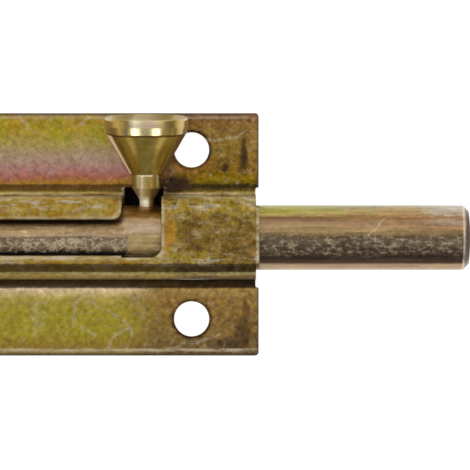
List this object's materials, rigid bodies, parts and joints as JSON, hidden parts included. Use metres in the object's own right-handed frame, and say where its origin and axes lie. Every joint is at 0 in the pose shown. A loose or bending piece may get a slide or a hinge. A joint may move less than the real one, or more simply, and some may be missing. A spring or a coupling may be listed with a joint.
{
  "type": "sliding bolt",
  "caption": "Surface-mounted sliding bolt: a round rod in a pressed channel plate, with a turned knob that drops into a notch to lock it.",
  "frame": {"origin": "middle of the housing plate's back face, which is the middle of its screw holes", "axes": "+X along the rod to its free end, +Y to the side that the knob lies on, +Z away from the door"},
  "size_m": [0.1123, 0.038, 0.0144],
  "materials": {
    "housing_chromate": "yellow-chromated zinc on pressed steel, iridescent and scuffed",
    "rod_chromate": "yellow-chromated zinc on drawn steel bar, worn at the tip",
    "knob_brass": "turned and polished brass"
  },
  "bodies": {
    "housing": {"housing_plate": "housing_chromate"},
    "bolt": {"bolt_rod": "rod_chromate", "knob": "knob_brass"}
  },
  "joints": [
    {"name": "bolt_turn", "type": "hinge", "parent": "housing", "child": "bolt", "pos_m": [0.02265, -0.0005, 0.006], "axis": [1, 0, 0], "range_deg": [0, 90]}
  ]
}
